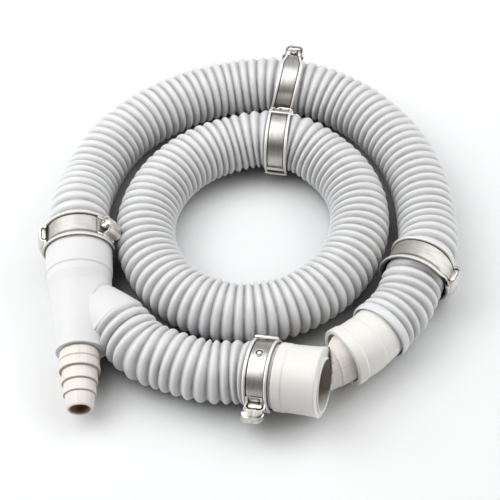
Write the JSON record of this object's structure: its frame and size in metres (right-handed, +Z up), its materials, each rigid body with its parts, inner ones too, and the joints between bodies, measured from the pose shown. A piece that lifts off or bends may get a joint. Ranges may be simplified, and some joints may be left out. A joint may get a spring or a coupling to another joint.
{
  "type": "drain hose",
  "caption": "Coiled corrugated drain hose with a wye fitting, a stepped nozzle, an open cuff, an adapter with a short spout, and steel band clamps.",
  "frame": {"origin": "on the floor under the middle of the part's bounding box", "axes": "+Z up, +X to the right and +Y away from the viewer of the picture, with the stepped nozzle pointing along -Y"},
  "size_m": [0.2114, 0.2302, 0.0388],
  "materials": {
    "hose_plastic": "light grey, soft sheen",
    "white_plastic": "off-white moulded plastic",
    "beige_plastic": "warm beige moulded plastic",
    "stainless_steel": "rolled strip, bright rims"
  },
  "bodies": {
    "root": {"end_adapter": "white_plastic", "front_clamp_band": "stainless_steel", "front_clamp_housing": "stainless_steel", "front_clamp_screw": "stainless_steel", "front_hose": "hose_plastic", "inner_clamp_band": "stainless_steel", "inner_clamp_housing": "stainless_steel", "inner_clamp_screw": "stainless_steel", "inner_hose": "hose_plastic", "left_clamp_band": "stainless_steel", "left_clamp_housing": "stainless_steel", "left_clamp_screw": "stainless_steel", "left_clamp_second_housing": "stainless_steel", "left_clamp_second_screw": "stainless_steel", "open_cuff": "white_plastic", "outer_hose": "hose_plastic", "outlet_spout": "beige_plastic", "right_clamp_band": "stainless_steel", "right_clamp_housing": "stainless_steel", "right_clamp_screw": "stainless_steel", "ring_coupler": "white_plastic", "stepped_nozzle": "beige_plastic", "top_clamp_band": "stainless_steel", "top_clamp_housing": "stainless_steel", "top_clamp_screw": "stainless_steel", "wye_body": "white_plastic"}
  },
  "joints": []
}
